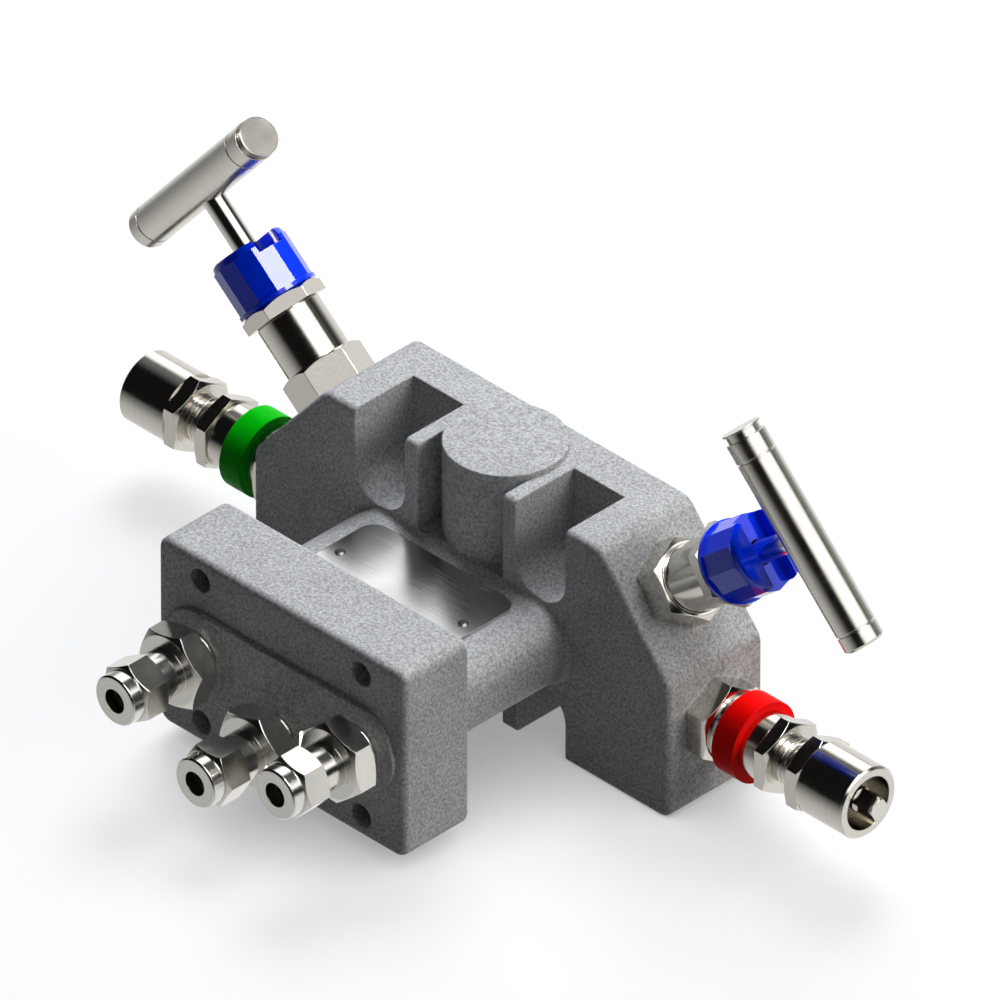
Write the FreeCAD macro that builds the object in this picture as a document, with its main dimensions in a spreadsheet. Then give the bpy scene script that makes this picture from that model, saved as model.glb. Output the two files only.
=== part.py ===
"""Four-valve manifold for a differential-pressure instrument, in millimetres.

The origin is the centre of the instrument face's bolt pattern. +Y points out of that face towards the
instrument, +X to the vent valve and +Z up. Each valve and each tube connector is drawn about its own axis,
with zero at the surface it is screwed into, and is then placed on the casting.
"""

import FreeCAD, Part
import math
import os

import Sketcher

# Driving dimensions, in millimetres and degrees
DRIVING = {
    # Casting: block, neck and process flange
    "block_width": 140.0,
    "block_depth": 31.0,
    "block_top": 36.2,
    "block_bottom": 31.0,
    "shoulder_half_width": 45.9,
    "shoulder_angle": 50.0,
    "block_crown_radius": 5.0,
    "block_foot_radius": 3.0,
    "block_edge_radius": 1.6,
    "neck_length": 38.0,
    "neck_half_spacing": 25.5,
    "neck_half_height": 11.0,
    "neck_root_radius": 1.6,
    "flange_width": 83.2,
    "flange_height": 53.6,
    "flange_thickness": 22.0,
    "flange_corner_radius": 3.5,
    "flange_edge_radius": 1.8,
    "raised_face_height": 1.3,
    "raised_face_radius": 11.7,
    "vent_lobe_radius": 11.2,
    # Bolt patterns and slots
    "bolt_pitch_across": 54.0,
    "bolt_pitch_up": 41.3,
    "instrument_hole": 12.0,
    "flange_hole": 6.4,
    "slot_width": 17.0,
    "slot_depth": 19.8,
    "rib_thickness": 4.1,
    "rib_gap_depth": 9.8,
    "boss_diameter": 30.6,
    "boss_rise": 1.3,
    # Bores in the casting
    "vent_port_drop": 10.4,
    "cross_bore_drop": 7.5,
    "process_bore": 5.0,
    "drilling_bore": 4.0,
    "instrument_port_bore": 6.0,
    "instrument_port_depth": 6.0,
    "seal_outer": 18.6,
    "seal_inner": 12.0,
    "seal_depth": 2.2,
    "socket_depth": 12.5,
    "port_drilling_depth": 4.0,
    "isolate_drilling_rise": 4.0,
    "lower_drilling_rise": 6.0,
    "lower_drilling_forward": 4.0,
    "lower_drilling_up": 2.5,
    "equalising_drilling_bore": 3.4,
    "equalising_drilling_rise": 1.0,
    "equalising_seat_bore_depth": 8.0,
    # Nameplate
    "plate_width": 49.0,
    "plate_length": 30.2,
    "plate_thickness": 0.8,
    "plate_corner_radius": 4.5,
    "plate_middle": 50.6,
    "plate_pin_spacing": 41.4,
    "plate_pin_diameter": 2.0,
    "plate_pin_head": 2.6,
    "plate_pin_head_side": 0.2,
    "plate_pin_head_height": 0.5,
    "plate_pin_crown": 1.8,
    "plate_pin_length": 5.0,
    # Valve parts that all four share
    "valve_thread": 14.0,
    "valve_thread_length": 13.0,
    "cavity_bore": 12.0,
    "seat_depth": 21.0,
    "seat_bore": 4.0,
    "stem_diameter": 6.0,
    "needle_cone_length": 3.6,
    "needle_tip_diameter": 1.8,
    "needle_body_length": 8.0,
    "button_diameter": 3.6,
    "button_height": 1.5,
    "button_neck_diameter": 2.4,
    "button_neck_height": 1.2,
    "packing_bore": 11.7,
    "packing_floor": 4.0,
    "packing_height": 5.0,
    "gland_ring_height": 1.5,
    "bonnet_hex": 19.0,
    "barrel_diameter": 17.2,
    "lock_nut_height": 3.8,
    "thread_lead": 0.9,
    "edge_break": 0.4,
    # Isolating valves
    "isolate_axis_angle": 50.0,
    "isolate_seat_drop": 1.5,
    "isolate_lift_left": 5.0,
    "isolate_lift_right": 1.0,
    "isolate_bonnet_hex_height": 8.4,
    "isolate_barrel_length": 14.0,
    "isolate_lock_hex": 19.0,
    "isolate_hex_angle_left": 0.0,
    "isolate_hex_angle_right": 55.0,
    "cap_rim_diameter": 21.0,
    "cap_rim_height": 1.0,
    "cap_diameter": 19.6,
    "cap_height": 14.7,
    "cap_crown_diameter": 18.0,
    "cap_crown_height": 1.8,
    "cap_crown_step_width": 0.3,
    "cap_crown_step_height": 0.45,
    "cap_wall": 1.6,
    "cap_slot_width": 7.6,
    "cap_slot_depth": 3.6,
    "cap_hole_clearance": 0.3,
    "adjuster_head_room": 0.5,
    "handle_closed_height": 54.5,
    "handle_diameter": 10.5,
    "handle_length": 59.5,
    "handle_groove_width": 0.5,
    "handle_groove_depth": 0.5,
    "handle_end_chamfer": 0.6,
    "handle_disc_diameter": 10.1,
    "handle_disc_thickness": 0.4,
    "handle_waist_width": 2.0,
    "handle_waist_depth": 0.8,
    "handle_upper_collar": 5.0,
    "handle_lower_collar": 4.2,
    "handle_grip_depth": 2.6,
    "handle_angle_right": 3.5,
    "handle_angle_left": 180.0,
    "grub_screw_diameter": 4.0,
    "grub_screw_length": 8.0,
    "grub_screw_point": 1.0,
    "grub_screw_hex": 2.0,
    "grub_screw_hex_depth": 3.0,
    # Lower valves: equalising and vent
    "lower_lift": 1.5,
    "lower_bonnet_hex_height": 6.6,
    "equalise_barrel_length": 16.3,
    "vent_barrel_length": 15.5,
    "lower_lock_hex": 18.0,
    "band_start": 9.6,
    "band_width": 6.8,
    "band_diameter": 21.4,
    "shroud_gap": 6.1,
    "shroud_hex": 18.0,
    "shroud_hex_height": 5.0,
    "shroud_diameter": 19.0,
    "shroud_length": 19.3,
    "shroud_bore": 14.2,
    "shroud_floor": 5.5,
    "shroud_chamfer": 0.6,
    "driver_flats": 4.8,
    "driver_length": 6.0,
    "driver_stand_out": 3.7,
    "driver_angle": 30.0,
    # Tube connectors
    "connector_thread": 13.2,
    "connector_thread_length": 11.0,
    "connector_stand_off": 3.1,
    "connector_hex": 19.0,
    "connector_hex_height": 6.8,
    "connector_neck_diameter": 12.4,
    "connector_neck_length": 6.4,
    "connector_bore": 4.8,
    "tube_nut_hex": 14.3,
    "tube_nut_hex_height": 7.5,
    "tube_nut_collar_diameter": 13.2,
    "tube_nut_collar_length": 3.75,
    "tube_diameter": 6.35,
    "tube_stop_depth": 6.0,
    "ferrule_front_length": 3.2,
    "ferrule_back_length": 2.0,
    "ferrule_outer": 8.6,
    "spigot_wall": 0.6,
    "spigot_set_back": 1.4,
    "connector_angle_left": 12.0,
    "connector_angle_middle": 15.0,
    "connector_angle_right": 40.0,
    "nut_angle_left": 30.0,
    "nut_angle_middle": 0.0,
    "nut_angle_right": 48.0,
    # Clearances
    "running_fit": 0.05,
    "thread_fit": 0.05,
    "seat_clearance": 0.05,
    "swivel_fit": 0.1,
    "tube_fit": 0.03,
}

doc = FreeCAD.newDocument("InstrumentManifold")
sheet = doc.addObject("Spreadsheet::Sheet", "Sizes")
for row, (alias, amount) in enumerate(DRIVING.items(), start=1):
    sheet.set(f"A{row}", alias)
    sheet.set(f"B{row}", str(amount))
    sheet.setAlias(f"B{row}", alias)
doc.recompute()


class Size:
    """A length or angle: its number now, and the expression on the sheet that it follows."""

    def __init__(self, number, text):
        self.number = number
        self.text = text

    def __add__(self, other):
        other = as_size(other)
        return Size(self.number + other.number, f"({self.text} + {other.text})")

    def __radd__(self, other):
        return as_size(other) + self

    def __sub__(self, other):
        other = as_size(other)
        return Size(self.number - other.number, f"({self.text} - {other.text})")

    def __rsub__(self, other):
        return as_size(other) - self

    def __mul__(self, other):
        other = as_size(other)
        return Size(self.number * other.number, f"({self.text} * {other.text})")

    def __rmul__(self, other):
        return as_size(other) * self

    def __truediv__(self, other):
        other = as_size(other)
        return Size(self.number / other.number, f"({self.text} / {other.text})")

    def __neg__(self):
        return Size(-self.number, f"(0 - {self.text})")


def as_size(value):
    """A plain number as a Size, and a Size as it is."""
    if isinstance(value, Size):
        return value
    return Size(float(value), f"({float(value):.6f})")


def sine(angle):
    angle = as_size(angle)
    return Size(math.sin(math.radians(angle.number)), f"sin({angle.text})")


def cosine(angle):
    angle = as_size(angle)
    return Size(math.cos(math.radians(angle.number)), f"cos({angle.text})")


def tangent(angle):
    angle = as_size(angle)
    return Size(math.tan(math.radians(angle.number)), f"tan({angle.text})")


class Sheet:
    """The driving dimensions by name, each as a Size."""

    def __getattr__(self, alias):
        return Size(float(sheet.get(alias)), f"Sizes.{alias}")


size = Sheet()
PAST = 1.0  # How far a cutting tool runs past the surface that it opens
MARGIN = 0.1  # How far an edge may lie from where it is looked for
HEX_FACE = 0.97  # Circle left on a chamfered hexagon's face, over its width across flats
HEX_REACH = 1.2  # Circle that the chamfer is cut from, over the same width
CAP_FACETS = 12  # Flat sides round an isolating valve's cap


# Drawing and feature helpers


def attach(body, plane, name, offset=0.0, turn=0.0):
    """An empty sketch on an origin plane of its body, raised by offset and turned about its normal."""
    drawing = body.newObject("Sketcher::SketchObject", name)
    support = next(item for item in body.Origin.OriginFeatures if item.Role == plane)
    drawing.AttachmentSupport = (support, [""])
    drawing.MapMode = "FlatFace"
    start = FreeCAD.Rotation(FreeCAD.Vector(0, 0, 1), 1)
    drawing.AttachmentOffset = FreeCAD.Placement(FreeCAD.Vector(), start)
    drawing.setExpression("AttachmentOffset.Base.z", as_size(offset).text)
    drawing.setExpression("AttachmentOffset.Rotation.Angle", as_size(turn).text)
    return drawing


def fix_point(drawing, geometry, which, across, up):
    """Ties a point of the sketch to its two coordinates on the sheet."""
    for kind, distance in (("DistanceX", as_size(across)), ("DistanceY", as_size(up))):
        rule = Sketcher.Constraint(kind, -1, 1, geometry, which, distance.number)
        number = drawing.addConstraint(rule)
        drawing.setExpression(f"Constraints[{number}]", distance.text)


def add_polygon(drawing, corners):
    """A closed polygon whose every corner follows the sheet."""
    first = drawing.GeometryCount
    points = [FreeCAD.Vector(as_size(a).number, as_size(b).number, 0) for a, b in corners]
    count = len(points)
    for index in range(count):
        drawing.addGeometry(Part.LineSegment(points[index], points[(index + 1) % count]), False)
    for index in range(count):
        following = first + (index + 1) % count
        drawing.addConstraint(Sketcher.Constraint("Coincident", first + index, 2, following, 1))
    for index, (across, up) in enumerate(corners):
        fix_point(drawing, first + index, 1, across, up)


def add_circle(drawing, across, up, radius):
    """A circle whose middle and radius follow the sheet."""
    middle = FreeCAD.Vector(as_size(across).number, as_size(up).number, 0)
    circle = Part.Circle(middle, FreeCAD.Vector(0, 0, 1), as_size(radius).number)
    geometry = drawing.addGeometry(circle, False)
    fix_point(drawing, geometry, 3, across, up)
    number = drawing.addConstraint(Sketcher.Constraint("Radius", geometry, as_size(radius).number))
    drawing.setExpression(f"Constraints[{number}]", as_size(radius).text)


def polygon(body, plane, name, corners, offset=0.0, turn=0.0):
    drawing = attach(body, plane, name, offset, turn)
    add_polygon(drawing, corners)
    return drawing


def circles(body, plane, name, discs, offset=0.0):
    drawing = attach(body, plane, name, offset)
    for across, up, radius in discs:
        add_circle(drawing, across, up, radius)
    return drawing


def rectangle(left, right, low, high):
    return [(left, low), (right, low), (right, high), (left, high)]


def hexagon(across_flats, turn=0.0):
    """Corners of a regular hexagon, the first one at the turn angle."""
    radius = across_flats / math.sqrt(3)
    return [(radius * cosine(turn + 60.0 * k), radius * sine(turn + 60.0 * k)) for k in range(6)]


def extrude(kind, body, drawing, name, length, backwards=False):
    feature = body.newObject(kind, name)
    feature.Profile = drawing
    feature.setExpression("Length", as_size(length).text)
    feature.Reversed = backwards
    body.Tip = feature
    return feature


def pad(body, drawing, name, length, backwards=False):
    return extrude("PartDesign::Pad", body, drawing, name, length, backwards)


def pocket(body, drawing, name, length, backwards=False):
    return extrude("PartDesign::Pocket", body, drawing, name, length, backwards)


def spin(kind, body, drawing, name, axis="V_Axis"):
    feature = body.newObject(kind, name)
    feature.Profile = drawing
    feature.ReferenceAxis = (drawing, [axis])
    feature.Angle = 360
    body.Tip = feature
    return feature


def revolve(body, name, profile, axis="V_Axis", plane="XZ_Plane", offset=0.0, turn=0.0):
    """Adds a turned form: the profile holds (radius, height) pairs about the body's own Z axis."""
    drawing = polygon(body, plane, f"{name}_profile", profile, offset, turn)
    return spin("PartDesign::Revolution", body, drawing, name, axis)


def groove(body, name, profile, axis="V_Axis", plane="XZ_Plane", offset=0.0, turn=0.0):
    """Cuts a turned form out of the body."""
    drawing = polygon(body, plane, f"{name}_profile", profile, offset, turn)
    return spin("PartDesign::Groove", body, drawing, name, axis)


def round_edges(body, name, radius, wanted):
    """Fillets those edges of the body's tip whose middle and direction the test accepts."""
    doc.recompute()
    base = body.Tip
    chosen = []
    for number, edge in enumerate(base.Shape.Edges, start=1):
        middle = edge.valueAt((edge.FirstParameter + edge.LastParameter) / 2)
        if wanted(middle, edge):
            chosen.append(f"Edge{number}")
    feature = body.newObject("PartDesign::Fillet", name)
    feature.Base = (base, chosen)
    feature.setExpression("Radius", as_size(radius).text)
    body.Tip = feature
    return feature


def along_y(edge):
    """Whether an edge is straight and runs front to back."""
    if not isinstance(edge.Curve, Part.Line):
        return False
    return abs(edge.Curve.Direction.y) > 0.999


def near(value, target):
    return abs(value - as_size(target).number) < 0.01


NODES = []


def place(thing, spot, axis, angle):
    """Turns a piece about an axis and moves it to its spot, both bound to the sheet."""
    thing.Placement = FreeCAD.Placement(FreeCAD.Vector(), FreeCAD.Rotation(FreeCAD.Vector(*axis), 1))
    thing.setExpression("Placement.Rotation.Angle", as_size(angle).text)
    for letter, distance in zip("xyz", spot):
        thing.setExpression(f"Placement.Base.{letter}", as_size(distance).text)


def new_body(name):
    return doc.addObject("PartDesign::Body", name)


def finish(thing, label):
    thing.Label = label
    NODES.append(thing)
    return thing


def group(pieces, label):
    """One node that holds several like solids."""
    compound = doc.addObject("Part::Compound", label)
    compound.Links = pieces
    return finish(compound, label)


def chamfer_hex(body, name, across_flats, low, high, top=True, bottom=True):
    """Turns the corners of a hexagon down to a circle at one or both faces, at thirty degrees."""
    corner = across_flats * HEX_REACH / 2
    flat = across_flats * HEX_FACE / 2
    drop = (corner - flat) * tangent(30.0)
    if top:
        groove(body, f"{name}_top_chamfer", [(flat, high), (corner, high - drop), (corner, high)])
    if bottom:
        groove(body, f"{name}_bottom_chamfer", [(flat, low), (corner, low), (corner, low + drop)])


# Shared places, worked out from the driving dimensions

half_depth = size.block_depth / 2
flange_back = size.block_depth + size.neck_length
flange_front = flange_back + size.flange_thickness
port_face = flange_front + size.raised_face_height
half_pitch_across = size.bolt_pitch_across / 2
half_pitch_up = size.bolt_pitch_up / 2
slot_radius = size.slot_width / 2
slot_inner = half_pitch_across - slot_radius
slot_outer = half_pitch_across + slot_radius
rib_inner = slot_inner - size.rib_thickness
shoulder_width = size.block_width / 2 - size.shoulder_half_width
side_height = size.block_top - shoulder_width * tangent(size.shoulder_angle)
stem_radius = size.stem_diameter / 2
needle_radius = stem_radius

# The isolating valve's axis leaves the shoulder square to it, and points at the process bore
shoulder_x = (
    (size.block_width / 2 - half_pitch_across) * sine(size.isolate_axis_angle)
    + (side_height + size.isolate_seat_drop) * cosine(size.isolate_axis_angle)
)
isolate_x = half_pitch_across + shoulder_x * sine(size.isolate_axis_angle)
isolate_z = shoulder_x * cosine(size.isolate_axis_angle) - size.isolate_seat_drop


# Casting


def casting_form():
    """Block, neck and flange with their slots, ribs and boss: everything but the bores."""
    body = new_body("CastingForm")
    half_width = size.block_width / 2
    outline = [
        (-half_width, -size.block_bottom),
        (half_width, -size.block_bottom),
        (half_width, side_height),
        (size.shoulder_half_width, size.block_top),
        (-size.shoulder_half_width, size.block_top),
        (-half_width, side_height),
    ]
    pad(body, polygon(body, "XZ_Plane", "block_outline", outline), "block", size.block_depth)

    def at_crown(middle, edge):
        return along_y(edge) and middle.z > 0

    def at_foot(middle, edge):
        return along_y(edge) and middle.z < 0

    def on_front(middle, edge):
        return near(middle.y, -size.block_depth)

    round_edges(body, "block_crown", size.block_crown_radius, at_crown)
    round_edges(body, "block_foot", size.block_foot_radius, at_foot)
    round_edges(body, "block_front_edge", size.block_edge_radius, on_front)

    neck_radius = size.neck_half_height
    neck_core = rectangle(-size.neck_half_spacing, size.neck_half_spacing, -neck_radius, neck_radius)
    pad(
        body,
        polygon(body, "XZ_Plane", "neck_core_outline", neck_core, size.block_depth),
        "neck_core",
        size.neck_length,
    )
    for side, word in ((1, "right"), (-1, "left")):
        end = circles(
            body,
            "XZ_Plane",
            f"neck_{word}_outline",
            [(side * size.neck_half_spacing, 0.0, neck_radius)],
            size.block_depth,
        )
        pad(body, end, f"neck_{word}", size.neck_length)

    def at_neck_root(middle, edge):
        inside = abs(middle.x) < size.neck_half_spacing.number + neck_radius.number + MARGIN
        return near(middle.y, -size.block_depth) and inside and abs(middle.z) < neck_radius.number + MARGIN

    round_edges(body, "neck_root", size.neck_root_radius, at_neck_root)

    half_flange = size.flange_width / 2
    half_height = size.flange_height / 2
    plate = rectangle(-half_flange, half_flange, -half_height, half_height)
    flange = polygon(body, "XZ_Plane", "flange_outline", plate, flange_back)
    pad(body, flange, "flange", size.flange_thickness)

    def at_flange_corner(middle, edge):
        return along_y(edge) and near(abs(middle.x), half_flange) and near(abs(middle.z), half_height)

    def on_flange_rim(middle, edge):
        corner = size.flange_corner_radius.number
        across, up = abs(middle.x), abs(middle.z)
        at_corner = across > half_flange.number - corner and up > half_height.number - corner
        on_outline = at_corner or near(across, half_flange) or near(up, half_height)
        return on_outline and (near(middle.y, -flange_front) or near(middle.y, -flange_back))

    round_edges(body, "flange_corners", size.flange_corner_radius, at_flange_corner)
    round_edges(body, "flange_rim", size.flange_edge_radius, on_flange_rim)

    face_radius = size.raised_face_radius
    face_core = rectangle(-half_pitch_across, half_pitch_across, -face_radius, face_radius)
    pad(
        body,
        polygon(body, "XZ_Plane", "raised_core_outline", face_core, flange_front),
        "raised_core",
        size.raised_face_height,
    )
    lobes = (
        ("right", half_pitch_across, 0.0, face_radius),
        ("left", -half_pitch_across, 0.0, face_radius),
        ("vent", 0.0, -size.vent_port_drop, size.vent_lobe_radius),
    )
    for word, across, up, radius in lobes:
        lobe = circles(body, "XZ_Plane", f"raised_{word}_outline", [(across, up, radius)], flange_front)
        pad(body, lobe, f"raised_{word}", size.raised_face_height)

    # Bolt slots: each is open at the front and at the top or bottom, with a round floor
    for side, word in ((1, "right"), (-1, "left")):
        for way, level in ((1, "top"), (-1, "bottom")):
            middle_x = side * half_pitch_across
            middle_z = way * half_pitch_up
            mouth = way * (size.block_top + size.block_bottom)
            walls = rectangle(middle_x - slot_radius, middle_x + slot_radius, middle_z, mouth)
            name = f"slot_{level}_{word}"
            outline = polygon(body, "XZ_Plane", f"{name}_outline", walls, size.block_depth)
            pocket(body, outline, name, size.slot_depth)
            disc = [(middle_x, middle_z, slot_radius)]
            floor = circles(body, "XZ_Plane", f"{name}_floor_outline", disc, size.block_depth)
            pocket(body, floor, f"{name}_floor", size.slot_depth)

    # The space between the two ribs, then the boss that stands in it
    slot_floor = half_pitch_up - slot_radius
    front = -size.block_depth
    space = rectangle(-rib_inner, rib_inner, front - PAST, front + size.rib_gap_depth)
    top_space = polygon(body, "XY_Plane", "top_space_outline", space, size.block_top + PAST)
    pocket(body, top_space, "top_space", size.block_top + PAST - slot_floor)
    low_space = polygon(body, "XY_Plane", "bottom_space_outline", space, -size.block_bottom - PAST)
    pocket(body, low_space, "bottom_space", size.block_bottom + PAST - slot_floor, True)
    boss = circles(
        body, "XY_Plane", "boss_outline", [(0.0, -half_depth, size.boss_diameter / 2)], -size.block_bottom
    )
    pad(body, boss, "boss", size.block_bottom + size.block_top + size.boss_rise)
    return body


def bore(name, spot, axis, angle, radius, length):
    """A straight cylindrical cut that starts at a spot and runs along the turned Z axis."""
    tool = doc.addObject("Part::Cylinder", name)
    tool.setExpression("Radius", as_size(radius).text)
    tool.setExpression("Height", as_size(length).text)
    place(tool, spot, axis, angle)
    return tool


def drilling(name, start, end, radius):
    """A slanting drilling from one point to another."""
    first = FreeCAD.Vector(*[as_size(value).number for value in start])
    last = FreeCAD.Vector(*[as_size(value).number for value in end])
    tool = doc.addObject("Part::Cylinder", name)
    tool.setExpression("Radius", as_size(radius).text)
    tool.Height = (last - first).Length
    tool.Placement = FreeCAD.Placement(first, FreeCAD.Rotation(FreeCAD.Vector(0, 0, 1), last - first))
    return tool


def casting_bores():
    """Every bore that the casting holds, as cutting tools."""
    tools = []
    forwards = ((1, 0, 0), 90.0)
    hole_positions = [
        (side * half_pitch_across, way * half_pitch_up) for side in (1, -1) for way in (1, -1)
    ]
    for number, (x, z) in enumerate(hole_positions, start=1):
        spot = (x, PAST, z)
        radius = size.instrument_hole / 2
        tools.append(bore(f"instrument_hole_{number}", spot, *forwards, radius, half_depth))
        spot = (x, PAST - flange_back, z)
        radius = size.flange_hole / 2
        length = size.flange_thickness + 2 * PAST
        tools.append(bore(f"flange_hole_{number}", spot, *forwards, radius, length))
    ports = (
        ("right", half_pitch_across, 0.0),
        ("left", -half_pitch_across, 0.0),
        ("vent", as_size(0.0), -size.vent_port_drop),
    )
    socket_radius = size.connector_thread / 2 + size.thread_fit
    socket_bottom = size.socket_depth - port_face
    for word, x, z in ports:
        spot = (x, socket_bottom, z)
        length = size.socket_depth + PAST
        tools.append(bore(f"socket_{word}", spot, *forwards, socket_radius, length))
    process_length = port_face - size.socket_depth - half_depth + PAST
    for side, word in ((1, "right"), (-1, "left")):
        x = side * half_pitch_across
        spot = (x, -half_depth, 0.0)
        tools.append(bore(f"process_bore_{word}", spot, *forwards, size.process_bore / 2, process_length))
        spot = (x, PAST, 0.0)
        radius = size.instrument_port_bore / 2
        length = size.instrument_port_depth + PAST
        tools.append(bore(f"instrument_port_{word}", spot, *forwards, radius, length))
        radius = size.seal_outer / 2
        tools.append(bore(f"seal_seat_{word}", spot, *forwards, radius, size.seal_depth + PAST))
    spot = (0.0, -half_depth, -size.cross_bore_drop)
    tools.append(bore("vent_bore", spot, *forwards, size.drilling_bore / 2, process_length))

    # Valve sockets: thread, cavity and seat bore on one axis, drilled inwards
    thread_radius = size.valve_thread / 2 + size.thread_fit
    for side, word in ((1, "right"), (-1, "left")):
        axes = (
            (
                "isolate",
                (side * isolate_x, -half_depth, isolate_z),
                ((0, side, 0), size.isolate_axis_angle + 180.0),
                shoulder_x,
            ),
            (
                "lower",
                (side * size.block_width / 2, -half_depth, -size.cross_bore_drop),
                ((0, side, 0), as_size(270.0)),
                size.block_width / 2 if side > 0 else size.seat_depth + size.equalising_seat_bore_depth,
            ),
        )
        for kind, spot, turn, reach in axes:
            name = f"{kind}_{word}"
            tools.append(bore(f"{name}_thread", spot, *turn, thread_radius, size.valve_thread_length))
            tools.append(bore(f"{name}_cavity", spot, *turn, size.cavity_bore / 2, size.seat_depth))
            tools.append(bore(f"{name}_seat_bore", spot, *turn, size.seat_bore / 2, reach))

    # Slanting drillings from each instrument port to the cavities of its two valves
    inner_isolate = size.seat_depth - size.isolate_drilling_rise
    for side, word in ((1, "right"), (-1, "left")):
        start = (side * half_pitch_across, -size.port_drilling_depth, 0.0)
        isolate_end = (
            side * (isolate_x - inner_isolate * sine(size.isolate_axis_angle)),
            -half_depth,
            isolate_z - inner_isolate * cosine(size.isolate_axis_angle),
        )
        lower_end = (
            side * (size.block_width / 2 - size.seat_depth + size.lower_drilling_rise),
            size.lower_drilling_forward - half_depth,
            size.lower_drilling_up - size.cross_bore_drop,
        )
        radius = size.drilling_bore / 2
        tools.append(drilling(f"isolate_drilling_{word}", start, isolate_end, radius))
        tools.append(drilling(f"lower_drilling_{word}", start, lower_end, radius))
    bore_end = size.seat_depth + size.equalising_drilling_rise - size.block_width / 2
    start = (bore_end, -half_depth, -size.cross_bore_drop)
    end = (half_pitch_across, -size.port_drilling_depth, 0.0)
    tools.append(drilling("equalising_drilling", start, end, size.equalising_drilling_bore / 2))

    for side, word in ((1, "right"), (-1, "left")):
        spot = (
            side * size.plate_pin_spacing / 2,
            -size.plate_middle,
            size.neck_half_height + size.plate_thickness - size.plate_pin_length,
        )
        radius = size.plate_pin_diameter / 2
        tools.append(bore(f"pin_hole_{word}", spot, (0, 0, 1), 0.0, radius, size.plate_pin_length + PAST))
    return tools


def casting():
    form = casting_form()
    tools = doc.addObject("Part::MultiFuse", "CastingBores")
    tools.Shapes = casting_bores()
    cut = doc.addObject("Part::Cut", "Casting")
    cut.Base = form
    cut.Tool = tools
    finish(cut, "manifold_casting")


# Nameplate and its pins


def nameplate():
    body = new_body("Nameplate")
    half_width = size.plate_width / 2
    half_length = size.plate_length / 2
    plate = rectangle(-half_width, half_width, -half_length, half_length)
    pad(body, polygon(body, "XY_Plane", "plate_outline", plate), "plate", size.plate_thickness)

    def upright(middle, edge):
        return isinstance(edge.Curve, Part.Line) and abs(edge.Curve.Direction.z) > 0.999

    round_edges(body, "plate_corners", size.plate_corner_radius, upright)
    half_spacing = size.plate_pin_spacing / 2
    radius = size.plate_pin_diameter / 2 + size.running_fit
    discs = [(half_spacing, 0.0, radius), (-half_spacing, 0.0, radius)]
    holes = circles(body, "XY_Plane", "pin_holes_outline", discs, PAST)
    pocket(body, holes, "pin_holes", size.plate_thickness + 2 * PAST)
    place(body, (0.0, -size.plate_middle, size.neck_half_height), (0, 0, 1), 0.0)
    finish(body, "nameplate")


def nameplate_pins():
    pins = []
    for side, word in ((1, "right"), (-1, "left")):
        body = new_body(f"Pin_{word}")
        shank = size.plate_pin_diameter / 2
        head = size.plate_pin_head / 2
        top = size.plate_pin_head_height
        profile = [
            (0.0, -size.plate_pin_length),
            (shank, -size.plate_pin_length),
            (shank, 0.0),
            (head, 0.0),
            (head, size.plate_pin_head_side),
            (size.plate_pin_crown / 2, top),
            (0.0, top),
        ]
        revolve(body, "pin", profile)
        spot = (
            side * size.plate_pin_spacing / 2,
            -size.plate_middle,
            size.neck_half_height + size.plate_thickness,
        )
        place(body, spot, (0, 0, 1), 0.0)
        pins.append(body)
    group(pins, "nameplate_pins")


def instrument_seals():
    seals = []
    for side, word in ((1, "right"), (-1, "left")):
        body = new_body(f"Seal_{word}")
        outer = size.seal_outer / 2 - size.running_fit
        revolve(body, "seal", rectangle(size.seal_inner / 2, outer, 0.0, size.seal_depth))
        place(body, (side * half_pitch_across, 0.0, 0.0), (1, 0, 0), 90.0)
        seals.append(body)
    group(seals, "instrument_seals")


# Tube connectors


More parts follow.
